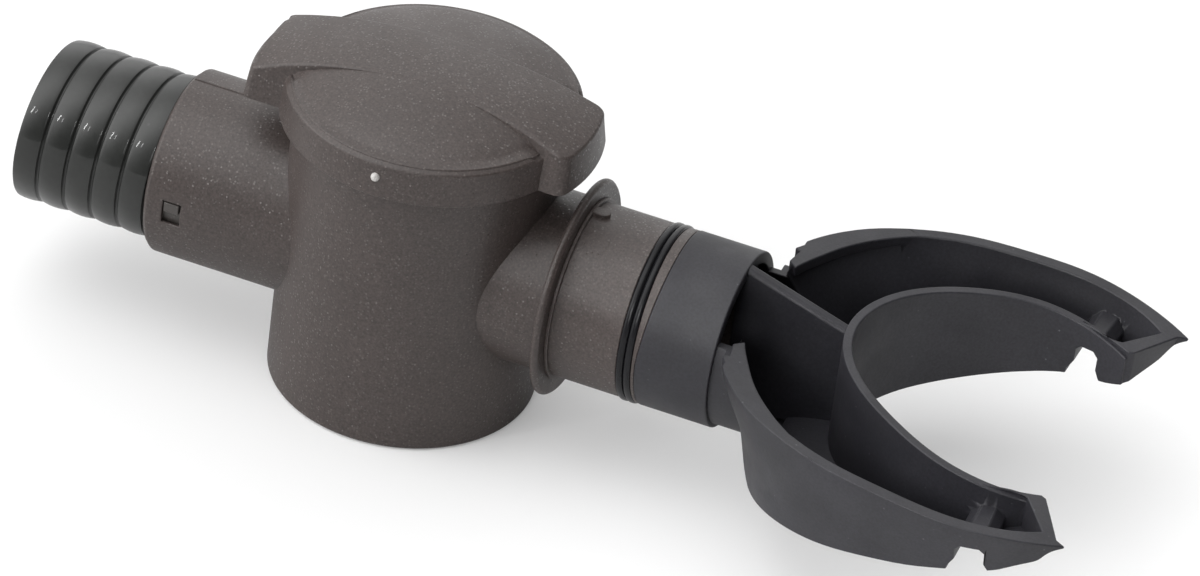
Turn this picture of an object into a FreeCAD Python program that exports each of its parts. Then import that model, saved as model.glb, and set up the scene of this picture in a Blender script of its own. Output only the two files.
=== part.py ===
import FreeCAD
import Part
import math
import os

V = FreeCAD.Vector
os.makedirs("parts", exist_ok=True)

# Driving sizes in millimetres. The cup's base centre is the origin, the collector lies towards +X
AXIS_Z = 45.7
MOVE_GAP = 0.4
SEAT_GAP = 0.15
FIT = 0.04
SNAP_GAP = 0.3

CUP_R = 37.7
CUP_WALL = 2.5
CUP_FLOOR = 2.6
LEDGE_Z = 80.0
LEDGE_STEP = 0.8

SOCKET_GAP = 1.5
SOCKET_WALL = 1.3
SOCKET_REACH = 33.9
SOCKET_DEPTH = 24.6
SOCKET_PASSAGE = 20.4
LAND_RISE = 0.35
LAND_EDGE = 2.2
WINDOW_IN = 5.8
WINDOW_W = 5.4
WINDOW_H = 7.0
WINDOW_RISE = 0.6

NECK_R = 25.2
NECK_BORE = 22.6
NECK_REACH = 8.5
FLANGE_T = 2.3
FLANGE_R = 31.05

SPIGOT_R = 25.0
SPIGOT_LENGTH = 20.7
SPIGOT_PASSAGE = 20.4
PLUG_LENGTH = 12.6
SNAP_RISE = 0.55
RING_D = 1.7
RING_IN = 4.7
COLLAR_RISE = 1.1
COLLAR_T = 1.0
KEY_LENGTH = 5.5
KEY_W = 3.3
KEY_Y = 1.45
SEAL_W = 4.4
SEAL_RISE = 0.55
SEAT_LENGTH = 17.4

SLEEVE_R = 25.25
SLEEVE_WALL = 1.5
SLEEVE_LENGTH = 21.3
SLEEVE_COLLAR = 1.0
SLEEVE_LEAN = 2.0

HORN_LENGTH = 112.4
HORN_HALF_WIDTH = 64.0
HORN_DEPTH = 25.7
HORN_NECK_R = 24.0
HORN_NECK_LENGTH = 8.9
HORN_NECK_TOP = 11.3
TAB_LENGTH = 5.9
OUTER_WALL = 2.6
WALL_FLARE = 1.6
INNER_WALL = 2.7
END_WALL = 5.4
END_SLOPE = 0.05
FLOOR_T = 2.6
RIB_T = 4.0
RIB_TOP = 24.8
RIB_FALL = 0.325
LIP_T = 3.3
CHANNEL_X = (86.7, 88.5)
CHANNEL_HALF = (3.2, 4.2)
CHANNEL_TOP = 3.3
CHANNEL_FLARE = 1.8
CHANNEL_SKIN = 1.3

HOSE_R = 23.5
HOSE_WALL = 2.3
HOSE_LENGTH = 63.8
HOSE_PITCH = 8.05
HOSE_FIRST = 11.75
RIB_DEPTH = 1.2
GASKET_T = 1.6
CLIP_LENGTH = 14.4
CLIP_IN = 1.2

SKIRT_STEP = 4.2
SKIRT_H = 10.9
SKIRT_WALL = 2.3
SKIRT_DRAFT = 1.1
LID_DROP = 9.0
LID_RIM = 1.8
DOME_RISE = 10.6
DOME_WALL = 2.4
WING_R = (52.0, 48.2)
WING_DRAFT = 3.6
WING_HALF = 17.0
WING_TOP_HALF = 11.3
WING_ARC = 95.0
WING_CROWN = 300.0
WING_WALL = 2.2
CORNER_ROUND = (2.4, 4.0)
EDGE_ROUND = 1.4
PLUG_DROP = 10.4
PLUG_WALL = 2.6
LID_RING_D = 1.7
PIN_R = 3.0
PIN_HEAD = 1.2

BASKET_WALL = 1.5
BASKET_GAP = 1.0
BASKET_FLOOR = 6.0
RIM_T = 2.2
HUB_R = 7.0
SLOT_W = 2.6
SLOTS = 18
INLET_R = 20.0

# Places that follow from the sizes
FLANGE_X = CUP_R + NECK_REACH
SOCKET_LENGTH = CUP_R + SOCKET_REACH
SKIRT_R = CUP_R + SKIRT_STEP
SPIGOT_X = FLANGE_X + FLANGE_T
SEAL_X = SPIGOT_X + SPIGOT_LENGTH
SLEEVE_X = SEAL_X + SEAL_W + SLEEVE_COLLAR
SLEEVE_END = SLEEVE_X + SLEEVE_LENGTH
SLEEVE_BORE = SLEEVE_R - SLEEVE_WALL
SOCKET_END = -SOCKET_LENGTH
SOCKET_BORE = HOSE_R + SOCKET_GAP
SOCKET_R = SOCKET_BORE + SOCKET_WALL
SOCKET_STOP = SOCKET_END + SOCKET_DEPTH
CUP_BORE = CUP_R - CUP_WALL
SKIRT_Z = LEDGE_Z + 5.3
CUP_TOP = SKIRT_Z + LID_DROP
LID_SEAT = CUP_TOP + SEAT_GAP
SHOULDER_R = SKIRT_R - SKIRT_DRAFT
DOME_TOP = SKIRT_Z + SKIRT_H + DOME_RISE + 0.2
PLUG_R = CUP_BORE - MOVE_GAP
PLUG_LOW = LID_SEAT - PLUG_DROP
RIM_TOP = LEDGE_Z + RIM_T
HOSE_STOP = SOCKET_STOP - GASKET_T - 0.1
HOSE_END = HOSE_STOP - HOSE_LENGTH


# Basic forms
def x_cyl(r, x0, x1, z=AXIS_Z, y=0.0):
    return Part.makeCylinder(r, x1 - x0, V(x0, y, z), V(1, 0, 0))


def z_cyl(r, z0, z1, x=0.0, y=0.0):
    return Part.makeCylinder(r, z1 - z0, V(x, y, z0), V(0, 0, 1))


def box(x0, x1, y0, y1, z0, z1):
    return Part.makeBox(x1 - x0, y1 - y0, z1 - z0, V(x0, y0, z0))


def sides(side, a, b):
    return sorted((side * a, side * b))


def x_ring(profile, z=AXIS_Z):
    pts = [V(x, 0, z + r) for x, r in profile]
    face = Part.Face(Part.makePolygon(pts + [pts[0]]))
    return face.revolve(V(0, 0, z), V(1, 0, 0), 360)


def z_ring(profile):
    pts = [V(r, 0, z) for r, z in profile]
    face = Part.Face(Part.makePolygon(pts + [pts[0]]))
    return face.revolve(V(0, 0, 0), V(0, 0, 1), 360)


def ring_section(mid, r, half):
    k = half * 0.42
    return [(mid - half, r - k), (mid - half, r + k), (mid - k, r + half), (mid + k, r + half),
            (mid + half, r + k), (mid + half, r - k), (mid + k, r - half), (mid - k, r - half)]


def curve(points, z=0.0):
    spline = Part.BSplineCurve()
    spline.interpolate([V(p[0], p[1], z) for p in points])
    return spline.toShape()


def line(a, b, z=0.0):
    return Part.makeLine(V(a[0], a[1], z), V(b[0], b[1], z))


def picked(shape, rule):
    return [e for e in shape.Edges if rule(e.BoundBox)]


def save(shape, name):
    shape.Solids[0].exportStep("parts/" + name + ".step")


# Housing: one brown moulding, a cup with the hose socket on one side and the flanged neck on the other
def housing():
    cup = z_cyl(CUP_R, 0, CUP_TOP)
    cup = cup.makeChamfer(0.7, picked(cup, lambda b: b.ZMax < 0.01))
    socket = x_cyl(SOCKET_R, SOCKET_END, 0)
    socket = socket.makeChamfer(1.0, picked(socket, lambda b: b.XMax < SOCKET_END + 0.01))
    land = x_cyl(SOCKET_R + LAND_RISE, SOCKET_END + 1.0, 0)
    land = land.common(box(SOCKET_END, 0, LAND_EDGE, SOCKET_R * 0.85, AXIS_Z, AXIS_Z + SOCKET_R + 5))
    neck = x_cyl(NECK_R, 0, FLANGE_X)
    flange = x_ring([(FLANGE_X, 0), (FLANGE_X, FLANGE_R - 0.5), (FLANGE_X + 0.5, FLANGE_R),
                     (SPIGOT_X - 0.9, FLANGE_R), (SPIGOT_X, FLANGE_R - 0.9), (SPIGOT_X, 0)])
    shell = cup.fuse([socket, land, neck, flange])
    bore = z_cyl(CUP_BORE - LEDGE_STEP, CUP_FLOOR, LEDGE_Z + 1).fuse(z_cyl(CUP_BORE, LEDGE_Z, CUP_TOP + 1))
    inlet = x_cyl(SOCKET_BORE, SOCKET_END - 1, SOCKET_STOP).fuse(x_cyl(SOCKET_PASSAGE, SOCKET_STOP - 1, 0))
    snap = SPIGOT_X - PLUG_LENGTH
    outlet = x_ring([(0, 0), (0, NECK_BORE), (snap + 0.5, NECK_BORE), (snap + 0.7, NECK_BORE + SNAP_RISE + 0.1),
                     (snap + 2.5, NECK_BORE + SNAP_RISE + 0.1), (snap + 2.9, NECK_BORE),
                     (SPIGOT_X + 1, NECK_BORE), (SPIGOT_X + 1, 0)])
    shell = shell.cut([bore, inlet, outlet])
    low, high = window_z()
    x0 = SOCKET_END + WINDOW_IN
    for side in (-1, 1):
        y0, y1 = sides(side, SOCKET_R - 6, SOCKET_R + 3)
        shell = shell.cut(box(x0, x0 + WINDOW_W, y0, y1, low, high))
    return shell


def window_z():
    mid = AXIS_Z + WINDOW_RISE
    return mid - WINDOW_H / 2, mid + WINDOW_H / 2


# Lid: skirted dome with two grip wings, a plug with a ring groove and a split pin that holds the basket
def lid():
    top_z = SKIRT_Z + SKIRT_H
    edge_r = SHOULDER_R - 1.9
    ball_r = (edge_r ** 2 + DOME_RISE ** 2) / (2 * DOME_RISE)
    ball_z = top_z + DOME_RISE - ball_r
    skin = z_ring([(0, SKIRT_Z), (SKIRT_R, SKIRT_Z), (SHOULDER_R, top_z - 0.8),
                   (SHOULDER_R - 0.6, top_z + 0.2), (edge_r, top_z + 0.9), (edge_r - 1.0, DOME_TOP + 5),
                   (0, DOME_TOP + 5)])
    skin = skin.common(Part.makeSphere(ball_r, V(0, 0, ball_z)))
    body = skin.fuse(wing_block(0.0))
    hollow = z_ring([(0, SKIRT_Z - 1), (SKIRT_R - SKIRT_WALL, SKIRT_Z - 1),
                     (SKIRT_R - SKIRT_WALL - 0.4, LID_SEAT), (0, LID_SEAT)])
    room = z_cyl(PLUG_R + 1.2, SKIRT_Z, DOME_TOP + 3)
    room = room.common(Part.makeSphere(ball_r - DOME_WALL, V(0, 0, ball_z)))
    body = body.cut([hollow, room, wing_block(WING_WALL)])
    groove = LID_SEAT - 6.2
    deep = PLUG_R - LID_RING_D
    inner = PLUG_R - PLUG_WALL
    plug = z_ring([(inner, PLUG_LOW), (PLUG_R - 0.4, PLUG_LOW), (PLUG_R, PLUG_LOW + 0.6),
                   (PLUG_R, groove - 1.2), (deep, groove - 1.2), (deep, groove + 1.2),
                   (PLUG_R, groove + 1.2), (PLUG_R, LID_SEAT), (SKIRT_R - SKIRT_WALL, LID_SEAT),
                   (SKIRT_R - SKIRT_WALL, LID_SEAT + LID_RIM), (inner, LID_SEAT + LID_RIM)])
    head_z = LEDGE_Z - SNAP_GAP
    pin = z_ring([(0, head_z - 2.4), (PIN_R - 0.4, head_z - 2.4), (PIN_R + PIN_HEAD, head_z - 0.8),
                  (PIN_R + PIN_HEAD, head_z), (PIN_R, head_z), (PIN_R, DOME_TOP - 1), (0, DOME_TOP - 1)])
    pin = pin.cut(box(-0.6, 0.6, -PIN_R * 2, PIN_R * 2, head_z - 4, head_z + 10))
    pip = Part.makeSphere(1.2, V(0, -SKIRT_R + 0.75, SKIRT_Z + 5.9))
    return body.fuse([plug, pin, pip])


# The band across the lid that makes the two wings, drawn in by a wall for its hollow underside
def wing_block(inset):
    z0 = SKIRT_Z - (1.0 if inset else 0.0)
    z1 = DOME_TOP + 2
    reach = max(WING_R) + 10
    frames = []
    for half, z in ((WING_HALF - inset, z0), (WING_TOP_HALF - inset, z1)):
        frames.append(Part.makePolygon([V(-reach, -half, z), V(reach, -half, z), V(reach, half, z),
                                        V(-reach, half, z), V(-reach, -half, z)]))
    block = Part.makeLoft(frames, True, True)
    ends = []
    for side, r in ((-1, WING_R[0] - inset), (1, WING_R[1] - inset)):
        drum = z_ring([(0, z0 - 1), (r, z0 - 1), (r - WING_DRAFT, z1 + 1), (0, z1 + 1)])
        drum.rotate(V(0, 0, 0), V(0, 0, 1), 90 + side * 90)
        x0, x1 = sides(side, 0, reach)
        ends.append(drum.common(box(x0, x1, -reach, reach, 0, z1 + 2)))
    block = block.common(ends[0].fuse(ends[1])).removeSplitter()
    if not inset:
        for side, r in ((-1, CORNER_ROUND[0]), (1, CORNER_ROUND[1])):
            corners = picked(block, lambda b: b.ZLength > SKIRT_H and side * b.XMin > SHOULDER_R * 0.8)
            block = block.makeFillet(r, corners)
    axis = V(0, 0, DOME_TOP - WING_ARC)
    r = WING_ARC - inset
    crown = WING_CROWN - inset
    half = WING_HALF + 5
    drop = crown - math.sqrt(crown ** 2 - half ** 2)
    a = axis + V(0, -half, drop - r)
    b = axis + V(0, half, drop - r)
    arc = Part.Arc(a, axis + V(0, 0, -r), b).toShape()
    c = axis + V(0, -half, 0)
    d = axis + V(0, half, 0)
    edges = [Part.makeLine(c, a), arc, Part.makeLine(b, d), Part.makeLine(d, c)]
    block = block.common(Part.Face(Part.Wire(edges)).revolve(axis, V(0, 1, 0), 360))
    if not inset:
        block = block.makeFillet(EDGE_ROUND, picked(block, lambda b: b.ZMin > SKIRT_Z + 4))
    return block


def lid_o_ring():
    half = (LID_RING_D - 0.1) / 2
    mid = PLUG_R - LID_RING_D + 0.02 + half
    return z_ring([(x, z + LID_SEAT - 6.2) for x, z in ring_section(mid, 0, half)])


# Strainer basket: slotted cup hung on the housing's ledge, with a round inlet that faces the neck
def strainer_basket():
    outer = CUP_BORE - LEDGE_STEP - BASKET_GAP
    inner = outer - BASKET_WALL
    cup = z_cyl(outer, BASKET_FLOOR, RIM_TOP).cut(z_cyl(inner, BASKET_FLOOR + BASKET_WALL, RIM_TOP + 1))
    rim = z_cyl(PLUG_R, LEDGE_Z + SEAT_GAP, RIM_TOP).cut(z_cyl(inner, LEDGE_Z - 1, RIM_TOP + 1))
    tools = []
    mid = AXIS_Z - 6.5
    for k in range(SLOTS):
        angle = 50 + k * 260.0 / (SLOTS - 1)
        for z0, z1 in ((BASKET_FLOOR + 8, mid - 3), (mid + 3, LEDGE_Z - 8)):
            slot = box(inner - 3, outer + 3, -SLOT_W / 2, SLOT_W / 2, z0, z1)
            slot.rotate(V(0, 0, 0), V(0, 0, 1), angle)
            tools.append(slot)
    for k in range(8):
        slot = box(8, inner - 6, -SLOT_W / 2, SLOT_W / 2, BASKET_FLOOR - 1, BASKET_FLOOR + 3)
        slot.rotate(V(0, 0, 0), V(0, 0, 1), k * 45)
        tools.append(slot)
    tools.append(x_cyl(INLET_R, 15, CUP_R + 2))
    span = inner + 0.5
    arms = box(-span, span, -1.2, 1.2, LEDGE_Z, RIM_TOP).fuse(box(-1.2, 1.2, -span, span, LEDGE_Z, RIM_TOP))
    hub = z_cyl(HUB_R, LEDGE_Z, RIM_TOP)
    body = cup.cut(tools).fuse([rim, arms, hub])
    return body.cut(z_cyl(PIN_R + MOVE_GAP, LEDGE_Z - 5, RIM_TOP + 5))


# Spigot tube: snap plug in the neck, shoulder collar on the flange, seal groove and sleeve seat
def spigot_tube():
    plug = NECK_BORE - FIT
    seat = SLEEVE_BORE - FIT
    end = SPIGOT_X - PLUG_LENGTH
    ring = end + RING_IN
    x1 = SEAL_X + SEAL_W
    stop = SLEEVE_X + SEAT_LENGTH
    prof = [(end, SPIGOT_PASSAGE), (end, plug - 0.8), (end + 0.9, plug + SNAP_RISE),
            (end + 2.3, plug + SNAP_RISE), (end + 2.7, plug), (ring, plug), (ring, plug - RING_D),
            (ring + 2.4, plug - RING_D), (ring + 2.4, plug), (SPIGOT_X, plug),
            (SPIGOT_X, SPIGOT_R + COLLAR_RISE), (SPIGOT_X + COLLAR_T, SPIGOT_R + COLLAR_RISE),
            (SPIGOT_X + COLLAR_T, SPIGOT_R), (SEAL_X, SPIGOT_R), (SEAL_X, seat), (x1, seat),
            (x1, SPIGOT_R + 0.1), (SLEEVE_X + 6, SPIGOT_R + 0.1), (SLEEVE_X + 6, seat), (stop, seat),
            (stop, SPIGOT_PASSAGE)]
    tube = x_ring(prof)
    shoulder = x_ring([(SLEEVE_X - 3, seat), (SLEEVE_X + 7, seat), (SLEEVE_X + 7, SPIGOT_R + 6),
                       (SLEEVE_X - 3, SPIGOT_R + 6)])
    tube = tube.cut(shoulder.common(beyond_lean(-FIT)))
    tip = SPIGOT_X + KEY_LENGTH
    top = AXIS_Z + SPIGOT_R + 1.2
    half = KEY_W / 2
    key = box(SPIGOT_X + COLLAR_T / 2, tip - half, KEY_Y - half, KEY_Y + half, top - 3, top)
    key = key.fuse(z_cyl(half, top - 3, top, tip - half, KEY_Y))
    return tube.fuse(key)


# All that lies beyond the sleeve's left end, which leans away from the seal towards the top
def beyond_lean(gap):
    x0 = SLEEVE_X + gap
    rise = SLEEVE_R + 6
    lean = SLEEVE_LEAN * rise / SLEEVE_R
    far = SLEEVE_X + 60
    pts = [V(x0, -60, AXIS_Z - rise), V(x0, -60, AXIS_Z), V(x0 + lean, -60, AXIS_Z + rise),
           V(far, -60, AXIS_Z + rise), V(far, -60, AXIS_Z - rise)]
    return Part.Face(Part.makePolygon(pts + [pts[0]])).extrude(V(0, 120, 0))


def spigot_o_ring():
    half = (RING_D - 0.06) / 2
    mid = SPIGOT_X - PLUG_LENGTH + RING_IN + 1.2
    return x_ring(ring_section(mid, NECK_BORE - FIT - RING_D + 0.02 + half, half))


# Double-lip seal: two rounded beads on one band in the spigot's groove
def double_lip_seal():
    x0 = SEAL_X + 0.03
    x1 = SEAL_X + SEAL_W - 0.03
    low = SLEEVE_BORE - FIT + 0.03
    top = SPIGOT_R + SEAL_RISE
    w = (x1 - x0) / 2
    prof = [(x0, low)]
    for k in range(2):
        a = x0 + k * w
        prof += [(a + 0.02 * w, top - 0.9), (a + w * 0.3, top), (a + w * 0.7, top), (a + 0.98 * w, top - 0.9)]
    return x_ring(prof + [(x1, low)])


# Collector outlines of one horn in plan, from the sleeve's end and the pipe's axis, at five heights
RIM = [(3.7, 28.4), (8.3, 35.4), (17.9, 46.2), (28.1, 53.4), (44.1, 60.0), (62.1, 63.0),
       (78.1, 64.0), (94.1, 61.4), (112.4, 53.4)]
OUTER = {
    20.3: RIM,
    4.3: [(5.2, 24.6), (10.4, 35.0), (18.6, 45.4), (28.6, 52.6), (44.2, 59.0), (62.1, 61.9),
          (78.1, 62.7), (93.6, 60.0), (110.8, 52.6)],
    -5.7: [(8.6, 23.3), (14.1, 33.6), (19.2, 41.8), (28.6, 50.4), (44.4, 57.2), (62.1, 59.7),
           (78.1, 60.2), (92.8, 57.6), (108.0, 51.0)],
    -15.7: [(8.9, 18.1), (14.9, 31.0), (21.1, 41.2), (29.4, 48.6), (45.1, 55.4), (62.1, 57.6),
            (78.1, 58.2), (92.0, 55.8), (106.0, 49.6)],
    -25.7: [(8.9, 6.0), (15.9, 24.0), (22.6, 36.6), (31.1, 45.0), (45.6, 52.6), (62.1, 55.2),
            (78.1, 56.0), (91.0, 53.8), (104.0, 48.2)],
}
OPENING = [(98.9, 35.7), (94.0, 37.8), (85.8, 40.0), (71.9, 39.7), (55.6, 32.9), (41.4, 21.7),
           (34.5, 10.6), (32.5, 0.0)]
END_CORNER = (100.7, 37.2)
BEAK = (-3.0, -1.4)
BOTTOM = [(-8.0, -25.5), (8.1, -25.0), (14.1, -22.9), (19.1, -20.6), (26.1, -18.6), (34.1, -17.0),
          (45.1, -15.3), (54.1, -13.7), (62.1, -12.1), (71.1, -10.0), (80.1, -7.4), (88.0, -5.6),
          (95.1, -3.8), (99.9, -1.2), (102.8, 0.2), (105.5, 1.8), (107.3, 4.2), (109.0, 5.7), (112.6, 7.0),
          (120.0, 8.6)]
LIP_END = [(5.4, 27.6), (4.4, 22.0)]
LIP_INNER = [(7.1, 19.6), (8.8, 23.6), (11.2, 28.1), (15.6, 35.6), (20.4, 41.6), (28.2, 48.9), (40.0, 56.4)]


def plan(points):
    kx = HORN_LENGTH / RIM[-1][0]
    ky = HORN_HALF_WIDTH / RIM[6][1]
    return [(x * kx, y * ky) for x, y in points]


def level(z):
    return z * HORN_DEPTH / -min(OUTER)


def heights(points):
    return [(plan([(x, 0)])[0][0], level(z)) for x, z in points]


def moved_in(points, gap):
    out = []
    last = len(points) - 1
    for i, p in enumerate(points):
        a = points[max(i - 1, 0)]
        b = points[min(i + 1, last)]
        size = math.hypot(b[0] - a[0], b[1] - a[1])
        out.append((p[0] + gap * (b[1] - a[1]) / size, p[1] - gap * (b[0] - a[0]) / size))
    return out


def mirrored(points):
    return [(x, -y) for x, y in points]


def both(points):
    return mirrored(points)[:-1] + [points[-1]] + points[:-1][::-1]


def path_edges(points, z):
    return [line(a, b, z) for a, b in zip(points[:-1], points[1:])]


# Closed outline of both horns: outer curves, the ends with their corner points, and the inner curve
def horn_wire(outer, opening, corners, z):
    end = [outer[-1]] + corners + [opening[0]]
    edges = [curve(outer[::-1], z), line(outer[0], mirrored(outer)[0], z), curve(mirrored(outer), z)]
    edges += path_edges(mirrored(end), z)
    edges.append(curve(both(opening), z))
    edges += path_edges(end[::-1], z)
    return Part.Wire(edges)


def height_slab(profile, z_far):
    reach = HORN_HALF_WIDTH + 20
    spline = Part.BSplineCurve()
    spline.interpolate([V(x, -reach, z) for x, z in profile])
    a = V(profile[0][0], -reach, profile[0][1])
    b = V(profile[-1][0], -reach, profile[-1][1])
    fa = V(a.x, -reach, z_far)
    fb = V(b.x, -reach, z_far)
    wire = Part.Wire([spline.toShape(), Part.makeLine(b, fb), Part.makeLine(fb, fa), Part.makeLine(fa, a)])
    return Part.Face(wire).extrude(V(0, 2 * reach, 0))


def outer_rim_z(x):
    return 14.77 - 0.01 * (x - 24.1) - 0.55e-3 * (x - 24.1) ** 2 - 0.0176 * x


def inner_rim_z(x):
    return 18.03 - 0.01 * (x - 24.1) - 1.48e-3 * (x - 24.1) ** 2 - 0.0176 * x


# Cross passage under a horn, wider towards the outer wall, as a tool or as the hump that covers it
def channel_block(side, skin):
    wires = []
    y_in = OPENING[2][1] - 5 + skin
    y_out = HORN_HALF_WIDTH + 6
    low = level(-20)
    for y, x, half in ((y_in, CHANNEL_X[0], CHANNEL_HALF[0]), (y_out, CHANNEL_X[1], CHANNEL_HALF[1])):
        h = half + skin
        top = CHANNEL_TOP + skin
        round_by = 1.4 + skin
        foot = level(BOTTOM[11][1]) + 3.5 + skin
        pts = [(-h - CHANNEL_FLARE, low), (-h - CHANNEL_FLARE, foot - 3.5), (-h, foot), (-h, top - round_by),
               (-h + round_by, top), (h - round_by, top), (h, top - round_by), (h, foot),
               (h + CHANNEL_FLARE, foot - 3.5), (h + CHANNEL_FLARE, low)]
        wires.append(Part.makePolygon([V(x + px, side * y, pz) for px, pz in pts + [pts[0]]]))
    return Part.makeLoft(wires, True, True)


# Rain collector: one soft moulding, a sleeve that opens into two horn-shaped troughs
def rain_collector():
    levels = sorted(OUTER)
    opening = plan(OPENING)
    trough_side = moved_in(opening, INNER_WALL)
    shell_side = moved_in(opening, INNER_WALL / 3)
    room_side = moved_in(opening, INNER_WALL * 2 / 3)
    wires = []
    rooms = []
    for z in levels:
        outer = plan(OUTER[z])
        beak = (outer[-1][0] + BEAK[0], outer[-1][1] + BEAK[1])
        wires.append(horn_wire(outer, shell_side, [beak, plan([END_CORNER])[0]], level(z)))
        path = moved_in(outer, OUTER_WALL + (WALL_FLARE if z < 15 else 0))
        end = END_SLOPE * (levels[-1] - z)
        path = path[:-1] + [(path[-1][0] - END_WALL - end, path[-1][1] + 1.4)]
        first = (trough_side[0][0] - 3.4 - end * 0.7, trough_side[0][1] + 1.6)
        rooms.append(horn_wire(path, [first] + room_side[1:], [], level(z)))
    full = Part.makeLoft(wires, True, False)
    cavity = Part.makeLoft(rooms, True, False)
    xs = [-8, 4, 16, 29, 44, 59, 74, 89, 102, 120]
    over_outer = height_slab(heights([(x, outer_rim_z(x)) for x in xs]), 60)
    over_inner = height_slab(heights([(x, inner_rim_z(x)) for x in xs]), 60)
    under = height_slab(heights(BOTTOM), -60)
    floor = height_slab([(x, z + FLOOR_T) for x, z in heights(BOTTOM[:11] + [(120.0, -1.0)])], -60)
    bore_r = HORN_NECK_R - SLEEVE_WALL - 0.8
    neck = x_cyl(HORN_NECK_R, -2.7, HORN_NECK_LENGTH + 1.0, 0)
    neck = neck.cut(box(-20, 20, -60, 60, HORN_NECK_TOP, 60))
    bowl = full.cut([over_outer, under]).fuse(neck)
    bowl = bowl.cut([cavity.cut(floor), x_cyl(bore_r, -5, HORN_NECK_LENGTH + 8, 0)])
    rim_top = level(outer_rim_z(8))
    for side in (-1, 1):
        y0, y1 = sides(side, HORN_NECK_R + 0.2, HORN_HALF_WIDTH)
        bowl = bowl.cut(box(-5, TAB_LENGTH, y0, y1, -HORN_DEPTH, rim_top - LIP_T))
    bowl = bowl.cut(box(-5, TAB_LENGTH - 0.5, -HORN_HALF_WIDTH, HORN_HALF_WIDTH, HORN_NECK_TOP, HORN_DEPTH))
    lip_edges = plan(LIP_INNER)
    corner = plan([RIM[0]] + LIP_END + LIP_INNER[:1])
    lip_wire = Part.Wire([curve(plan(RIM[:5])), line(plan(RIM)[4], lip_edges[-1]), curve(lip_edges[::-1])]
                         + path_edges(corner[::-1], 0))
    lip = Part.Face(lip_wire).extrude(V(0, 0, LIP_T + 3))
    lip.translate(V(0, 0, rim_top - LIP_T))
    lip = lip.cut(over_outer)
    other_lip = lip.mirror(V(0, 0, 0), V(0, 1, 0))
    rings = []
    for z in (-HORN_DEPTH - 5, HORN_DEPTH):
        near = both(opening)
        far = both(trough_side)
        rings.append(Part.Wire([curve(near, z), line(near[-1], far[-1], z), curve(far[::-1], z),
                                line(far[0], near[0], z)]))
    band = Part.makeLoft(rings, True, False).cut([over_inner, under])
    half = RIB_T / 2
    end = opening[-1][0] - INNER_WALL / 2
    start = -2.4
    low = level(BOTTOM[4][1]) + FLOOR_T / 2
    pts = [V(start, -half, 0.5 - HORN_NECK_R), V(start, -half, RIB_TOP - RIB_FALL * start),
           V(end, -half, RIB_TOP - RIB_FALL * end), V(end, -half, low)]
    rib = Part.Face(Part.makePolygon(pts + [pts[0]])).extrude(V(0, RIB_T, 0))
    rib = rib.makeChamfer(0.9, picked(rib, lambda b: b.XLength > 20 and b.ZMin > 5 and b.YLength < 0.01))
    rib = rib.cut(box(-10, 0, -10, 10, -60, 60).cut(x_cyl(SLEEVE_R - 0.2, -10, 0, 0)))
    humps = [channel_block(side, CHANNEL_SKIN).common(full).cut([under, over_outer]) for side in (-1, 1)]
    body = bowl.fuse(band).fuse(rib).fuse([lip, other_lip]).fuse(humps)
    for side in (-1, 1):
        body = body.cut(channel_block(side, 0))
    body.translate(V(SLEEVE_END, 0, AXIS_Z))
    sleeve = x_cyl(SLEEVE_R, SLEEVE_X - 5, SLEEVE_END).common(beyond_lean(0.0))
    sleeve = sleeve.cut([x_cyl(SLEEVE_BORE, SLEEVE_X - 5, SLEEVE_END - 2.7),
                         x_cyl(bore_r, SLEEVE_END - 3, SLEEVE_END + 1)])
    return body.fuse(sleeve)


# Locking ring: thin split band round the hose, with two hooks that snap into the socket's windows
def hose_clip():
    r_out = SOCKET_BORE - SNAP_GAP
    r_in = HOSE_R + SNAP_GAP
    x0 = SOCKET_END + CLIP_IN
    ring = x_ring([(x0, r_in), (x0, r_out), (x0 + CLIP_LENGTH, r_out), (x0 + CLIP_LENGTH, r_in)])
    cuts = [box(x0 - 1, x0 + CLIP_LENGTH + 1, -1.6, 1.6, 0, AXIS_Z)]
    low, high = window_z()
    mid = (low + high) / 2
    wx = SOCKET_END + WINDOW_IN
    hooks = []
    for side in (-1, 1):
        y0, y1 = sides(side, r_in + 0.2, SOCKET_R - 0.2)
        hooks.append(box(wx + 0.4, wx + WINDOW_W - 0.6, y0, y1, mid + 0.2, high - SNAP_GAP))
        y0, y1 = sides(side, r_in - 4, SOCKET_R + 2)
        for z in (mid - WINDOW_H / 2 - 1.2, mid + WINDOW_H / 2 + 0.5):
            cuts.append(box(wx - 0.2, x0 + CLIP_LENGTH - 1.5, y0, y1, z, z + 0.7))
    return ring.cut(cuts).fuse(hooks)


def hose_gasket():
    x1 = SOCKET_STOP - 0.02
    x0 = SOCKET_STOP - GASKET_T
    top = SOCKET_BORE - SNAP_GAP
    return x_ring([(x0, SOCKET_PASSAGE + 0.4), (x0, top), (x1, top), (x1, SOCKET_PASSAGE + 0.4)])


# Corrugated hose stub: rounded ribs with narrow valleys between them
def hose():
    deep = HOSE_R - RIB_DEPTH
    bore = HOSE_R - HOSE_WALL
    prof = [(HOSE_END, bore), (HOSE_END, HOSE_R - 0.6), (HOSE_END + 1.4, HOSE_R)]
    x = HOSE_END + HOSE_FIRST
    while x < HOSE_STOP - 3:
        prof += [(x - 1.3, HOSE_R), (x - 0.4, deep + 0.2), (x + 0.4, deep + 0.2), (x + 1.3, HOSE_R)]
        x += HOSE_PITCH
    prof += [(HOSE_STOP, HOSE_R), (HOSE_STOP, bore)]
    return x_ring(prof)


save(housing(), "housing")
save(lid(), "lid")
save(lid_o_ring(), "lid_o_ring")
save(strainer_basket(), "strainer_basket")
save(spigot_tube(), "spigot_tube")
save(spigot_o_ring(), "spigot_o_ring")
save(double_lip_seal(), "double_lip_seal")
save(rain_collector(), "rain_collector")
save(hose_clip(), "hose_clip")
save(hose_gasket(), "hose_gasket")
save(hose(), "hose")
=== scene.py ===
import bpy
import bmesh
import math
from mathutils import Matrix, Vector


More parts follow.
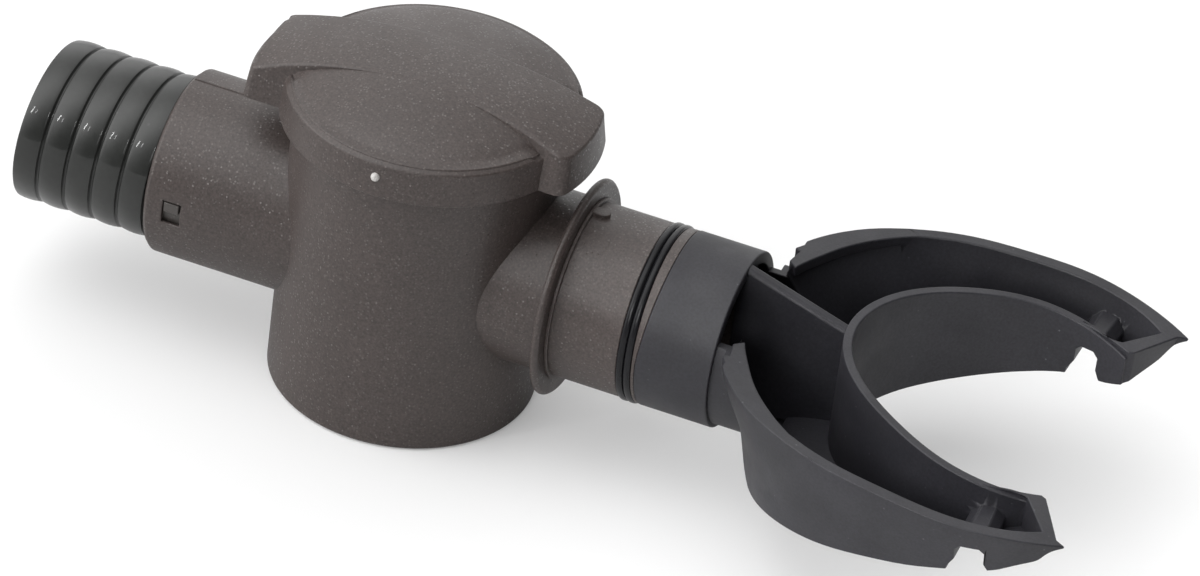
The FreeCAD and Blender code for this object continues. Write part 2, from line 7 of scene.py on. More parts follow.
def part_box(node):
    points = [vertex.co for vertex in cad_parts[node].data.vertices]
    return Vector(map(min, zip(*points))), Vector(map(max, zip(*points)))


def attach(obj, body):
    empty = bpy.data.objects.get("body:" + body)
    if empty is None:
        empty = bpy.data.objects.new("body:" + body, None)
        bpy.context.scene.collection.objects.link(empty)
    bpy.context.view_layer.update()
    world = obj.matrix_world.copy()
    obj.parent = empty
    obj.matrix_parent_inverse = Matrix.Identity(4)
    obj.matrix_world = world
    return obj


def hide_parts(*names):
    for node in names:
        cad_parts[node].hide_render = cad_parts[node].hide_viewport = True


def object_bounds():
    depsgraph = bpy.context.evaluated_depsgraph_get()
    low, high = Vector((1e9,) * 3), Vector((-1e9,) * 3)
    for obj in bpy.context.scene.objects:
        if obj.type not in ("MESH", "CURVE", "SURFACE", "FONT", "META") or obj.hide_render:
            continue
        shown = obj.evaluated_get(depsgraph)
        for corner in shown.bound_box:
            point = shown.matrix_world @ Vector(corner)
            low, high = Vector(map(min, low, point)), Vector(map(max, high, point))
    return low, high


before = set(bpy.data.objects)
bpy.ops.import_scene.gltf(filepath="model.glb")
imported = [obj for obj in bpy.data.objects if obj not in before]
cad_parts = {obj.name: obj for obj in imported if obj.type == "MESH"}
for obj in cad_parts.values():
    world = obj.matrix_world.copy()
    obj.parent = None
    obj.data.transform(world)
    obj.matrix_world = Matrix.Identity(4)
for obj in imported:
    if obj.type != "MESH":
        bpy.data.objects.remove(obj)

cad_low, cad_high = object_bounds()


# Camera: a long lens at the photograph's angle, rolled a little, with no shift.
# Its distance and turn were fitted to the rims of the cup, the flange and the horns.
LENS = 251.41
SENSOR_WIDTH = 36.0
AZIMUTH = math.radians(16.9612)
ELEVATION = math.radians(35.6956)
ROLL = math.radians(7.7683)
EYE_RIGHT = 0.05542
EYE_UP = 0.02234
EYE_BACK = 2.33884
camera_data = bpy.data.cameras.new("camera")
camera_data.lens = LENS
camera_data.sensor_width = SENSOR_WIDTH
camera_data.sensor_fit = "HORIZONTAL"
camera_data.clip_start = 0.1
camera_data.clip_end = 20.0
camera = bpy.data.objects.new("camera", camera_data)
bpy.context.collection.objects.link(camera)
back = Vector((math.sin(AZIMUTH) * math.cos(ELEVATION), -math.cos(AZIMUTH) * math.cos(ELEVATION),
               math.sin(ELEVATION)))
level_right = (-back).cross(Vector((0, 0, 1))).normalized()
level_up = level_right.cross(-back)
right = math.cos(ROLL) * level_right + math.sin(ROLL) * level_up
up = math.cos(ROLL) * level_up - math.sin(ROLL) * level_right
eye = right * EYE_RIGHT + up * EYE_UP + back * EYE_BACK
camera.matrix_world = Matrix((
    (right.x, up.x, back.x, eye.x),
    (right.y, up.y, back.y, eye.y),
    (right.z, up.z, back.z, eye.z),
    (0, 0, 0, 1)))
bpy.context.scene.camera = camera


# Studio: a pale floor that the cup stands on, a surround with broad soft patches of light, four
# strips that give the narrow highlights on the hose, and a weak fill before the collector.
FLOOR_HALF = 6.0
FLOOR_DROP = 0.0002
FLOOR_COLOUR = (0.74, 0.74, 0.74, 1)
FLOOR_ROUGHNESS = 0.95
FLOOR_GLOW = 0.2
SURROUND_LEVEL = 0.045
WHITE = (1, 1, 1, 1)
HOSE_MIDDLE = (-0.09, 0, 0.05)
COLLECTOR_MIDDLE = (0.20, 0, 0.05)


def shader_node(tree, kind, values=None, **settings):
    node = tree.nodes.new(kind)
    for key, value in settings.items():
        setattr(node, key, value)
    for key, value in (values or {}).items():
        node.inputs[key].default_value = value
    return node


def wire(tree, source, output, target, entry):
    tree.links.new(source.outputs[output], target.inputs[entry])


floor_mesh = bpy.data.meshes.new("floor")
bm = bmesh.new()
bmesh.ops.create_grid(bm, x_segments=1, y_segments=1, size=FLOOR_HALF)
bmesh.ops.translate(bm, vec=(0, 0, -FLOOR_DROP), verts=bm.verts)
bm.to_mesh(floor_mesh)
bm.free()
floor = bpy.data.objects.new("floor", floor_mesh)
bpy.context.collection.objects.link(floor)
floor_paint = bpy.data.materials.new("floor_paint")
floor_paint.use_nodes = True
tree = floor_paint.node_tree
floor_shader = tree.nodes["Principled BSDF"]
floor_shader.inputs["Base Color"].default_value = FLOOR_COLOUR
floor_shader.inputs["Roughness"].default_value = FLOOR_ROUGHNESS
floor_shader.inputs["Specular IOR Level"].default_value = 0.0
floor_shader.inputs["Emission Color"].default_value = WHITE
seen_by = shader_node(tree, "ShaderNodeLightPath")
glow = shader_node(tree, "ShaderNodeMath", {1: FLOOR_GLOW}, operation="MULTIPLY")
wire(tree, seen_by, "Is Camera Ray", glow, 0)
wire(tree, glow, "Value", floor_shader, "Emission Strength")
floor_mesh.materials.append(floor_paint)

world = bpy.data.worlds.new("studio")
bpy.context.scene.world = world
world.use_nodes = True
tree = world.node_tree
surround = tree.nodes["Background"]
surround.inputs["Color"].default_value = WHITE
facing = shader_node(tree, "ShaderNodeTexCoord")
light = shader_node(tree, "ShaderNodeValue")
light.outputs[0].default_value = SURROUND_LEVEL
total = light.outputs[0]
# each patch of light: azimuth and height in degrees, brightness, and how narrow it is
for turn, height, brightness, narrowness in (
        (0, 90, 1.15, 8), (200, 52, 1.9, 6), (240, 60, 0.9, 8), (203, 12, 2.9, 9), (110, 30, 1.5, 5)):
    turn, height = math.radians(turn), math.radians(height)
    toward = (math.cos(turn) * math.cos(height), math.sin(turn) * math.cos(height), math.sin(height))
    along = shader_node(tree, "ShaderNodeVectorMath", {1: toward}, operation="DOT_PRODUCT")
    wire(tree, facing, "Generated", along, 0)
    front_half = shader_node(tree, "ShaderNodeMath", {1: 0.0}, operation="MAXIMUM")
    wire(tree, along, "Value", front_half, 0)
    patch = shader_node(tree, "ShaderNodeMath", {1: narrowness}, operation="POWER")
    wire(tree, front_half, "Value", patch, 0)
    sum_up = shader_node(tree, "ShaderNodeMath", {1: brightness}, operation="MULTIPLY_ADD")
    wire(tree, patch, "Value", sum_up, 0)
    tree.links.new(total, sum_up.inputs[2])
    total = sum_up.outputs["Value"]
# the camera itself sees the surround white
seen_by = shader_node(tree, "ShaderNodeLightPath")
level = shader_node(tree, "ShaderNodeMix", {"B": 1.0}, data_type="FLOAT")
wire(tree, seen_by, "Is Camera Ray", level, "Factor")
tree.links.new(total, level.inputs["A"])
wire(tree, level, "Result", surround, "Strength")
bpy.context.scene.view_settings.view_transform = "Standard"

# each lamp: where it is and points, its width and length, watts, and spread in degrees
for name, place, target, size, power, spread in (
        ("outer_left_strip", (-1.18, -1.42, 1.26), HOSE_MIDDLE, (0.05, 0.34), 2.8, 180),
        ("inner_left_strip", (-0.86, -1.50, 1.26), HOSE_MIDDLE, (0.03, 0.22), 0.6, 180),
        ("inner_right_strip", (0.30, -1.64, 1.30), HOSE_MIDDLE, (0.04, 0.28), 0.7, 180),
        ("outer_right_strip", (0.58, -1.58, 1.30), HOSE_MIDDLE, (0.03, 0.20), 0.2, 180),
        ("collector_fill", (0.12, -0.55, 0.34), COLLECTOR_MIDDLE, (0.25, 0.20), 0.11, 40)):
    lamp = bpy.data.lights.new(name, "AREA")
    lamp.shape = "RECTANGLE"
    lamp.size, lamp.size_y = size
    lamp.energy = power
    lamp.spread = math.radians(spread)
    lamp_object = bpy.data.objects.new(name, lamp)
    lamp_object.location = place
    lamp_object.rotation_mode = "QUATERNION"
    lamp_object.rotation_quaternion = (Vector(target) - Vector(place)).to_track_quat("-Z", "Y")
    bpy.context.collection.objects.link(lamp_object)


# Housing: cup, hose socket and flanged neck, one brown injection moulding with a satin,
# finely eroded skin full of pale flecks, partly the plastic's own specks and partly painted
# glints: their pale colour paints the sparkle of light on them. It stands on the cup's flat base.
HOUSING_EDGE = 0.00035
SHARP_ANGLE = math.radians(30)
FLAT_ANGLE = math.radians(0.3)
SAME_POINT = 0.000001


# A copy of a CAD node with its outer edges rounded and the rest shaded smooth
def soft_edged(node_name, radius, material):
    mesh = bpy.data.meshes.new(node_name + "_skin")
    bm = bmesh.new()
    bm.from_mesh(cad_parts[node_name].data)
    bmesh.ops.remove_doubles(bm, verts=bm.verts, dist=SAME_POINT)
    bmesh.ops.dissolve_limit(bm, angle_limit=FLAT_ANGLE, verts=bm.verts, edges=bm.edges)
    for face in bm.faces:
        face.smooth = True
    weight = bm.edges.layers.float.new("bevel_weight_edge")
    for edge in bm.edges:
        if len(edge.link_faces) == 2 and edge.is_convex and edge.calc_face_angle() > SHARP_ANGLE:
            edge[weight] = 1.0
        edge.smooth = len(edge.link_faces) == 2 and edge.calc_face_angle() < SHARP_ANGLE
    bm.to_mesh(mesh)
    bm.free()
    mesh.materials.append(material)
    piece = bpy.data.objects.new(node_name + "_skin", mesh)
    bpy.context.collection.objects.link(piece)
    rounding = piece.modifiers.new("edge_rounding", "BEVEL")
    rounding.width = radius
    rounding.segments = 3
    rounding.profile = 0.5
    rounding.limit_method = "WEIGHT"
    rounding.use_clamp_overlap = False
    shading = piece.modifiers.new("flat_faces_first", "WEIGHTED_NORMAL")
    shading.mode = "FACE_AREA"
    shading.weight = 50
    shading.keep_sharp = True
    return piece


def effect_group(name, entries, exits):
    group = bpy.data.node_groups.new(name, "ShaderNodeTree")
    for label, kind, value in entries:
        socket = group.interface.new_socket(label, in_out="INPUT", socket_type=kind)
        if value is not None:
            socket.default_value = value
    for label, kind in exits:
        group.interface.new_socket(label, in_out="OUTPUT", socket_type=kind)
    return group, group.nodes.new("NodeGroupInput"), group.nodes.new("NodeGroupOutput")


# Small round specks, one to a cell at most: Share is the part of the cells that have one,
# and Tilt leans each speck its own way
flecks, entry, leave = effect_group(
    "pale_flecks",
    [("Place", "NodeSocketVector", None), ("Cells per metre", "NodeSocketFloat", 900.0),
     ("Share", "NodeSocketFloat", 0.3), ("Size", "NodeSocketFloat", 0.35)],
    [("Mask", "NodeSocketFloat"), ("Tilt", "NodeSocketVector")])
cells = shader_node(flecks, "ShaderNodeTexVoronoi", feature="F1")
wire(flecks, entry, "Place", cells, "Vector")
wire(flecks, entry, "Cells per metre", cells, "Scale")
chance = shader_node(flecks, "ShaderNodeSeparateColor")
wire(flecks, cells, "Color", chance, "Color")
chosen = shader_node(flecks, "ShaderNodeMath", operation="LESS_THAN")
wire(flecks, chance, "Red", chosen, 0)
wire(flecks, entry, "Share", chosen, 1)
edge_fade = shader_node(flecks, "ShaderNodeMapRange", {"From Min": 0.0, "To Min": 1.0, "To Max": 0.0},
                        interpolation_type="SMOOTHSTEP")
wire(flecks, cells, "Distance", edge_fade, "Value")
wire(flecks, entry, "Size", edge_fade, "From Max")
strength = shader_node(flecks, "ShaderNodeMath", operation="MULTIPLY")
wire(flecks, chosen, "Value", strength, 0)
wire(flecks, chance, "Green", strength, 1)
mask = shader_node(flecks, "ShaderNodeMath", operation="MULTIPLY")
wire(flecks, strength, "Value", mask, 0)
wire(flecks, edge_fade, "Result", mask, 1)
wire(flecks, mask, "Value", leave, "Mask")
lean = shader_node(flecks, "ShaderNodeVectorMath", {1: (0.5, 0.5, 0.5)}, operation="SUBTRACT")
wire(flecks, cells, "Color", lean, 0)
masked_lean = shader_node(flecks, "ShaderNodeVectorMath", operation="SCALE")
wire(flecks, lean, "Vector", masked_lean, 0)
wire(flecks, mask, "Value", masked_lean, "Scale")
wire(flecks, masked_lean, "Vector", leave, "Tilt")

# Slow change of tone or gloss over a surface, from Low to High
NOISE_LOW = 0.3
NOISE_HIGH = 0.7
drift, entry, leave = effect_group(
    "slow_drift",
    [("Place", "NodeSocketVector", None), ("Waves per metre", "NodeSocketFloat", 30.0),
     ("Low", "NodeSocketFloat", 0.9), ("High", "NodeSocketFloat", 1.1)],
    [("Value", "NodeSocketFloat")])
clouds = shader_node(drift, "ShaderNodeTexNoise", {"Detail": 3.0, "Roughness": 0.55})
wire(drift, entry, "Place", clouds, "Vector")
wire(drift, entry, "Waves per metre", clouds, "Scale")
stretched = shader_node(drift, "ShaderNodeMapRange", {"From Min": NOISE_LOW, "From Max": NOISE_HIGH})
wire(drift, clouds, "Fac", stretched, "Value")
wire(drift, entry, "Low", stretched, "To Min")
wire(drift, entry, "High", stretched, "To Max")
wire(drift, stretched, "Result", leave, "Value")

TONE_WAVES = 26.0
GLOSS_WAVES = 70.0
COAT_ROUGHNESS = 0.05
FLECK_ROUGHNESS = 0.16
COLOUR_A = 6
COLOUR_B = 7
COLOUR_RESULT = 2


# A moulded finish: base colour, flecks, drifting tone and gloss, and a fine eroded grain.
# With a glint, each fleck is a small polished facet.
def moulded_finish(name, colour, fleck_colour, cells_per_metre, share, fleck_size, roughness,
                   tone=(0.9, 1.1), gloss=(0.9, 1.12), grain_per_metre=1600.0, grain_depth=0.00001,
                   specular=0.5, speckling=0.1, glint=0.0, coat=0.0):
    paint = bpy.data.materials.new(name)
    paint.use_nodes = True
    tree = paint.node_tree
    shader = tree.nodes["Principled BSDF"]
    shader.inputs["Specular IOR Level"].default_value = specular
    shader.inputs["Coat Weight"].default_value = coat
    shader.inputs["Coat Roughness"].default_value = COAT_ROUGHNESS
    place = shader_node(tree, "ShaderNodeTexCoord")

    tone_drift = shader_node(tree, "ShaderNodeGroup", node_tree=drift)
    tone_drift.inputs["Waves per metre"].default_value = TONE_WAVES
    tone_drift.inputs["Low"].default_value, tone_drift.inputs["High"].default_value = tone
    wire(tree, place, "Object", tone_drift, "Place")
    toned = shader_node(tree, "ShaderNodeVectorMath", {0: colour}, operation="SCALE")
    wire(tree, tone_drift, "Value", toned, "Scale")
    grain = shader_node(tree, "ShaderNodeTexNoise", {"Scale": grain_per_metre, "Detail": 2.0})
    wire(tree, place, "Object", grain, "Vector")
    speckle = shader_node(tree, "ShaderNodeMapRange", {
        "From Min": NOISE_LOW, "From Max": NOISE_HIGH,
        "To Min": 1 - speckling, "To Max": 1 + speckling})
    wire(tree, grain, "Fac", speckle, "Value")
    grained = shader_node(tree, "ShaderNodeVectorMath", operation="SCALE")
    wire(tree, toned, "Vector", grained, 0)
    wire(tree, speckle, "Result", grained, "Scale")

    specks = shader_node(tree, "ShaderNodeGroup", node_tree=flecks)
    specks.inputs["Cells per metre"].default_value = cells_per_metre
    specks.inputs["Share"].default_value = share
    specks.inputs["Size"].default_value = fleck_size
    wire(tree, place, "Object", specks, "Place")
    flecked = shader_node(tree, "ShaderNodeMix", data_type="RGBA")
    flecked.inputs[COLOUR_B].default_value = (*fleck_colour, 1)
    wire(tree, specks, "Mask", flecked, "Factor")
    wire(tree, grained, "Vector", flecked, COLOUR_A)
    wire(tree, flecked, COLOUR_RESULT, shader, "Base Color")

    gloss_drift = shader_node(tree, "ShaderNodeGroup", node_tree=drift)
    gloss_drift.inputs["Waves per metre"].default_value = GLOSS_WAVES
    gloss_drift.inputs["Low"].default_value = roughness * gloss[0]
    gloss_drift.inputs["High"].default_value = roughness * gloss[1]
    wire(tree, place, "Object", gloss_drift, "Place")
    relief = shader_node(tree, "ShaderNodeBump", {"Strength": 1.0, "Distance": grain_depth})
    wire(tree, grain, "Fac", relief, "Height")
    if not glint:
        wire(tree, gloss_drift, "Value", shader, "Roughness")
        wire(tree, relief, "Normal", shader, "Normal")
        return paint

    polished = shader_node(tree, "ShaderNodeMix", {"B": FLECK_ROUGHNESS}, data_type="FLOAT")
    wire(tree, gloss_drift, "Value", polished, "A")
    wire(tree, specks, "Mask", polished, "Factor")
    wire(tree, polished, "Result", shader, "Roughness")
    facets = shader_node(tree, "ShaderNodeVectorMath", {1: (glint, glint, glint)}, operation="MULTIPLY_ADD")
    wire(tree, specks, "Tilt", facets, 0)
    wire(tree, relief, "Normal", facets, 2)
    unit = shader_node(tree, "ShaderNodeVectorMath", operation="NORMALIZE")
    wire(tree, facets, "Vector", unit, 0)
    wire(tree, unit, "Vector", shader, "Normal")
    return paint


# the pale fleck colour here is partly painted glint, beside the tilted polished facets
brown_plastic = moulded_finish(
    "brown_plastic", colour=(0.0575, 0.0450, 0.0415), fleck_colour=(0.13, 0.115, 0.107),
    cells_per_metre=1250.0, share=0.6, fleck_size=0.5, roughness=0.42,
    grain_per_metre=1500.0, grain_depth=0.00003, speckling=0.28, glint=1.4)
housing_skin = soft_edged("housing", HOUSING_EDGE, brown_plastic)
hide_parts("housing")
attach(housing_skin, "housing")


# Hose gasket: flat ring of soft black rubber at the bottom of the hose socket,
# pressed against the socket's shoulder by the hose's cut end.
seal_rubber = moulded_finish(
    "seal_rubber", colour=(0.009, 0.009, 0.0105), fleck_colour=(0.03, 0.03, 0.03),
    cells_per_metre=500.0, share=0.05, fleck_size=0.2, roughness=0.24,
    grain_per_metre=900.0, grain_depth=0.000004, specular=0.22)
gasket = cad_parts["hose_gasket"]
gasket.data.materials[0] = seal_rubber


# Hose clip: thin split band of the same brown plastic round the hose. Its two hooks snap
# outwards into the socket's windows, where they show.
CLIP_EDGE = 0.0002
clip_plastic = moulded_finish(
    "clip_plastic", colour=(0.062, 0.055, 0.051), fleck_colour=(0.15, 0.14, 0.13),
    cells_per_metre=1150.0, share=0.3, fleck_size=0.4, roughness=0.3, grain_depth=0.00002)
hose_clip_skin = soft_edged("hose_clip", CLIP_EDGE, clip_plastic)
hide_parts("hose_clip")
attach(hose_clip_skin, "housing")


# Hose: a short cut length of corrugated pipe, dark grey-green and glossy, with wide rounded
# ribs and narrow valleys. It is pushed into the socket as far as the gasket.
hose_low, hose_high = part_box("hose")
AXIS_Z = (hose_low[2] + hose_high[2]) / 2
HOSE_R = (hose_high[1] - hose_low[1]) / 2
HOSE_WALL = 0.0023
FIRST_VALLEY = 0.00992
PITCH = 0.00805
VALLEY_DEPTH = 0.0012
VALLEY_HALF = 0.00032
RIB_CURVE = 0.015
RIB_STATIONS = (-0.0034, -0.0026, -0.0013, 0.0, 0.0013, 0.0026, 0.0034)
FIRST_RIB = -2
LAST_RIB = 10
HOSE_STEPS = 128
END_SLANT = 0.00128
SLANT_TURN = math.radians(36.9)
ON_PLANE = 0.0000001
CUT_ANGLE = math.radians(20)
CUT_ROUNDING = 0.0003


# An outline of places along the hose's axis and distances from it, turned once round the axis.
# A pitch carries it along as a screw thread; without one, a closed outline makes a ring.
def turned(outline, steps, pitch=0.0):
    bm = bmesh.new()
    corners = [bm.verts.new((x, 0, AXIS_Z + r)) for x, r in outline]
    following = corners[1:] if pitch else corners[1:] + corners[:1]
    sides = [bm.edges.new(pair) for pair in zip(corners, following)]
    bmesh.ops.spin(bm, geom=sides + corners, cent=(0, 0, AXIS_Z), axis=(1, 0, 0), angle=2 * math.pi,
                   dvec=(-pitch / steps, 0, 0), steps=steps, use_merge=not pitch)
    bmesh.ops.remove_doubles(bm, verts=bm.verts, dist=SAME_POINT)
    return bm


def as_piece(bm, name, body, slot, material, *nodes):
    for face in bm.faces:
        face.smooth = True
    mesh = bpy.data.meshes.new(name)
    bm.to_mesh(mesh)
    bm.free()
    mesh.materials.append(material)
    piece = bpy.data.objects.new(name, mesh)
    bpy.context.collection.objects.link(piece)
    if nodes:
        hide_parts(*nodes)
    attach(piece, body)


# the thread starts and ends beyond the hose, and is cut to length below
valley_r = HOSE_R - VALLEY_DEPTH
outline = []
for rib in range(FIRST_RIB, LAST_RIB + 1):
    middle = hose_low[0] + FIRST_VALLEY + (rib + 0.5) * PITCH
    outline.append((middle - PITCH / 2 + VALLEY_HALF, valley_r))
    for station in RIB_STATIONS:
        outline.append((middle + station, HOSE_R - station ** 2 / (2 * RIB_CURVE)))
    outline.append((middle + PITCH / 2 - VALLEY_HALF, valley_r))
bm = turned(outline, HOSE_STEPS, PITCH)

# the outer end is cut at a slant, longest at its lower front
slant = END_SLANT / HOSE_R
outer_cut = (hose_low[0] + END_SLANT, 0, AXIS_Z)
outer_keeps = (1, -slant * math.sin(SLANT_TURN), -slant * math.cos(SLANT_TURN))
inner_cut = (hose_high[0], 0, AXIS_Z)
inner_keeps = (-1, 0, 0)
bore_ends = []
for place, direction in ((outer_cut, outer_keeps), (inner_cut, inner_keeps)):
    cut = bmesh.ops.bisect_plane(bm, geom=bm.verts[:] + bm.edges[:] + bm.faces[:], plane_co=place,
                                 plane_no=direction, dist=ON_PLANE, clear_inner=True)
    rim = [e for e in cut["geom_cut"] if isinstance(e, bmesh.types.BMEdge)]
    wall_end = bmesh.ops.extrude_edge_only(bm, edges=rim)["geom"]
    for v in (v for v in wall_end if isinstance(v, bmesh.types.BMVert)):
        shrink = (HOSE_R - HOSE_WALL) / math.hypot(v.co.y, v.co.z - AXIS_Z)
        v.co.y = v.co.y * shrink
        v.co.z = AXIS_Z + (v.co.z - AXIS_Z) * shrink
    bore_ends += [e for e in wall_end if isinstance(e, bmesh.types.BMEdge) and len(e.link_faces) == 1]
bmesh.ops.bridge_loops(bm, edges=bore_ends)
bmesh.ops.recalc_face_normals(bm, faces=bm.faces)
rims = [e for e in bm.edges
        if len(e.link_faces) == 2 and e.is_convex and e.calc_face_angle() > CUT_ANGLE]
bmesh.ops.bevel(bm, geom=rims, offset=CUT_ROUNDING, offset_type="OFFSET", segments=3, profile=0.5,
                affect="EDGES", material=-1, clamp_overlap=True)
# painted reflection: the hose's wide drift of tone gives slow lighter smudges for its cloudy reflections
hose_plastic = moulded_finish(
    "hose_plastic", colour=(0.0180, 0.0190, 0.0176), fleck_colour=(0.06, 0.06, 0.06),
    cells_per_metre=300.0, share=0.03, fleck_size=0.2, roughness=0.38, tone=(0.7, 1.3), gloss=(0.8, 1.2),
    grain_per_metre=500.0, grain_depth=0.000003, specular=0.3, coat=0.45)
as_piece(bm, "hose_skin", "housing", "hose_plastic", hose_plastic, "hose")


# Spigot tube: smooth brown ring with a thin collar against the flange and a key rib on top.
# Its plug snaps into the neck, and its far end carries the seal and the collector.
SPIGOT_EDGE = 0.00022
spigot_skin = soft_edged("spigot_tube", SPIGOT_EDGE, brown_plastic)
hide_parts("spigot_tube")
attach(spigot_skin, "housing")


# Spigot ring: round black rubber cord, moulded as a ring. It lies in the groove of the spigot's
# plug and is squeezed by the neck's bore.
CORD_SIDES = 20
SPIGOT_RING_STEPS = 96
ring_low, ring_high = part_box("spigot_o_ring")
cord_r = (ring_high[0] - ring_low[0]) / 2
cord_middle = ((ring_low[0] + ring_high[0]) / 2, 0, ring_high[2] - cord_r)


def cord_ring(cord_middle, cord_r, centre, axis, steps):
    bm = bmesh.new()
    stood_up = Matrix.Translation(cord_middle) @ Matrix.Rotation(math.pi / 2, 4, "X")
    bmesh.ops.create_circle(bm, segments=CORD_SIDES, radius=cord_r, matrix=stood_up)
    bmesh.ops.spin(bm, geom=bm.verts[:] + bm.edges[:], cent=centre, axis=axis,
                   angle=2 * math.pi, steps=steps, use_merge=True)
    bmesh.ops.remove_doubles(bm, verts=bm.verts, dist=SAME_POINT)
    bmesh.ops.recalc_face_normals(bm, faces=bm.faces)
    return bm


bm = cord_ring(cord_middle, cord_r, (0, 0, AXIS_Z), (1, 0, 0), SPIGOT_RING_STEPS)
as_piece(bm, "spigot_ring", "housing", "seal_rubber", seal_rubber, "spigot_o_ring")


# Double-lip seal: one glossy black rubber band with two round beads, stretched into the groove
# between the spigot and the collector's sleeve. It closes the hole in the pipe's wall.
seal_low, seal_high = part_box("double_lip_seal")
seal_start, seal_end = seal_low[0], seal_high[0]
seal_middle = (seal_start + seal_end) / 2
seal_r = (seal_high[1] - seal_low[1]) / 2
BEAD_FOOT = 0.0022
BEAD_VALLEY = 0.0009
BEAD_GAP_HALF = 0.00008
BEAD_ROUNDING = 0.00082
SEAL_STEPS = 128
first_bead_end = seal_middle - BEAD_GAP_HALF
second_bead_start = seal_middle + BEAD_GAP_HALF
bm = turned([
    (seal_start, seal_r - BEAD_FOOT), (seal_start, seal_r), (first_bead_end, seal_r),
    (seal_middle, seal_r - BEAD_VALLEY), (second_bead_start, seal_r), (seal_end, seal_r),
    (seal_end, seal_r - BEAD_FOOT)], SEAL_STEPS)
bmesh.ops.recalc_face_normals(bm, faces=bm.faces)


def is_bead_corner(edge):
    for x in (seal_start, first_bead_end, second_bead_start, seal_end):
        if all(abs(v.co.x - x) < SAME_POINT
               and abs(math.hypot(v.co.y, v.co.z - AXIS_Z) - seal_r) < SAME_POINT for v in edge.verts):
            return True
    return False


bead_corners = [e for e in bm.edges if is_bead_corner(e)]
bmesh.ops.bevel(bm, geom=bead_corners, offset=BEAD_ROUNDING, offset_type="OFFSET", segments=5, profile=0.5,
                affect="EDGES", material=-1, clamp_overlap=True)
as_piece(bm, "double_bead_seal", "housing", "seal_rubber", seal_rubber, "double_lip_seal")


# Rain collector: one soft matt rubber moulding, a sleeve drawn over the spigot and two hollow
# horns that lie against the pipe's wall. The rib between them parts the water.
COLLECTOR_EDGE = 0.0004
soft_rubber = moulded_finish(
    "soft_rubber", colour=(0.0208, 0.0203, 0.0248), fleck_colour=(0.12, 0.12, 0.13),
    cells_per_metre=420.0, share=0.16, fleck_size=0.17, roughness=0.5, tone=(0.78, 1.25),
    gloss=(0.85, 1.15), grain_per_metre=1300.0, grain_depth=0.00003, specular=0.45, speckling=0.2)
collector_skin = soft_edged("rain_collector", COLLECTOR_EDGE, soft_rubber)
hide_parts("rain_collector")
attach(collector_skin, "housing")


# Strainer basket: slotted basket of plain dark plastic, hung on the cup's ledge by its rim.
# It keeps leaves and grit out of the hose.
BASKET_EDGE = 0.0002
basket_plastic = moulded_finish(
    "basket_plastic", colour=(0.05, 0.05, 0.052), fleck_colour=(0.1, 0.1, 0.1),
    cells_per_metre=600.0, share=0.1, fleck_size=0.3, roughness=0.35, grain_per_metre=1200.0)
basket_skin = soft_edged("strainer_basket", BASKET_EDGE, basket_plastic)
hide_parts("strainer_basket")
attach(basket_skin, "strainer")


# Lid ring: round black rubber cord, moulded as a ring. It lies in the groove of the lid's plug
# and is squeezed by the cup's wall.
LID_RING_STEPS = 128
ring_low, ring_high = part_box("lid_o_ring")
cord_r = (ring_high[2] - ring_low[2]) / 2
cord_middle = (ring_high[0] - cord_r, 0, (ring_low[2] + ring_high[2]) / 2)
bm = cord_ring(cord_middle, cord_r, (0, 0, 0), (0, 0, 1), LID_RING_STEPS)
as_piece(bm, "lid_ring", "lid", "seal_rubber", seal_rubber, "lid_o_ring")


# Lid: domed cap with a skirt and two grip wings, moulded in the same brown plastic as the
# housing. Its plug is pushed into the cup and held by the ring. The dome is drawn a little
# flatter, and the wings a little straighter, than in the source.
LID_EDGE = 0.0004
DOME_R = 0.0767
DOME_TOP = cad_high[2] - 0.0002
OUTSIDE_HEIGHT = 0.0135
FLATTER_R = 0.100
CROWN_DROP = 0.0019
WING_TOP_R = 0.095
WING_CROWN_R = 0.300
WING_LIFT = 0.0020
WING_REACH = 0.050
WING_ARCH = 4.5
WING_EDGE = 0.0113
WING_MARGIN = 0.0008
WING_HALF = 0.0172
DOME_RIM_R = 0.0385
SKIRT_R = 0.0415
RIM_DROP = 0.0108
RIM_BAND = 0.0013
RIM_START = DOME_RIM_R + 0.0009
RIM_MERGE = 0.0004
lid_skin = soft_edged("lid", LID_EDGE, brown_plastic)


def dome_height(x, y):
    return DOME_TOP - DOME_R + math.sqrt(DOME_R ** 2 - x ** 2 - y ** 2)


def wing_height(x, y):
    return cad_high[2] - x ** 2 / (2 * WING_TOP_R) - y ** 2 / (2 * WING_CROWN_R)


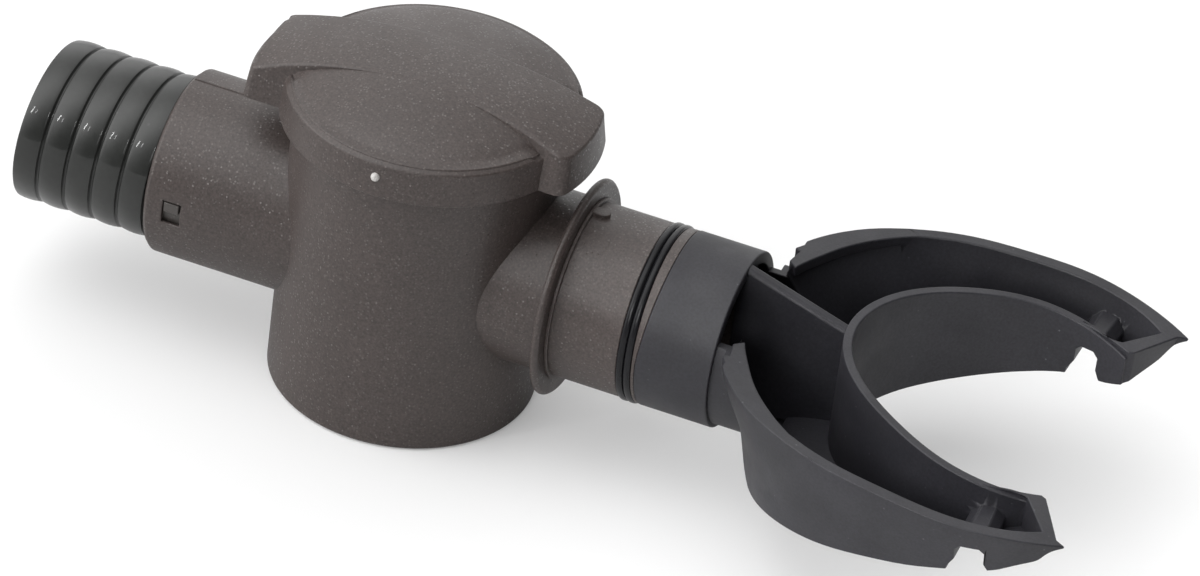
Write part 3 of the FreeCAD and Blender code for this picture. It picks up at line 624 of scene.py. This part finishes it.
# How much a point belongs to the wings: 0 on the dome, 1 on a wing's top, between on its flank
def wing_share(x, y, z):
    if math.hypot(x, y) > DOME_RIM_R:
        return float(abs(y) < WING_HALF)
    if abs(y) <= WING_EDGE - WING_MARGIN:
        return 1.0
    flank_height = wing_height(x, WING_EDGE) - dome_height(x, WING_EDGE)
    return min(max((z - dome_height(x, y)) / flank_height, 0.0), 1.0)


for v in lid_skin.data.vertices:
    x, y, z = v.co
    if z < DOME_TOP - OUTSIDE_HEIGHT:
        continue
    share = wing_share(x, y, z)
    flattening = (x ** 2 + y ** 2) * (1 / DOME_R - 1 / FLATTER_R) / 2
    dome_shift = min(flattening - CROWN_DROP, 0.0)
    wing_shift = (CROWN_DROP + WING_LIFT) * (x / WING_REACH) ** 2 - CROWN_DROP - y ** 2 * WING_ARCH
    v.co.z += dome_shift * (1 - share) + wing_shift * share


# The dome's rim and the skirt's top now meet: their points are merged
def on_dome_rim(v):
    reach = math.hypot(v.co.x, v.co.y)
    beside_wings = abs(v.co.y) > WING_HALF
    return beside_wings and RIM_START < reach < SKIRT_R and abs(v.co.z - DOME_TOP + RIM_DROP) < RIM_BAND


bm = bmesh.new()
bm.from_mesh(lid_skin.data)
bmesh.ops.remove_doubles(bm, verts=[v for v in bm.verts if on_dome_rim(v)], dist=RIM_MERGE)
bm.to_mesh(lid_skin.data)
bm.free()
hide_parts("lid")
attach(lid_skin, "lid")


# Pip: the small stud on the front of the lid's skirt, where the moulding's gate was
# trimmed and polished. It is one with the lid. Its near-white colour is a painted highlight:
# the whole stud is painted pale to stand for the bright glint it catches.
PIP_R = 0.0013
PIP_PLACE = (0, -0.0412, 0.0912)
pip_painted_highlight = moulded_finish(
    "pip_painted_highlight", colour=(0.55, 0.53, 0.51), fleck_colour=(0.7, 0.7, 0.7),
    cells_per_metre=900.0, share=0.05, fleck_size=0.2, roughness=0.2, tone=(0.95, 1.05))
bm = bmesh.new()
bmesh.ops.create_uvsphere(bm, u_segments=24, v_segments=12, radius=PIP_R,
                          matrix=Matrix.Translation(PIP_PLACE))
as_piece(bm, "lid_pip", "lid", "brown_plastic", pip_painted_highlight)
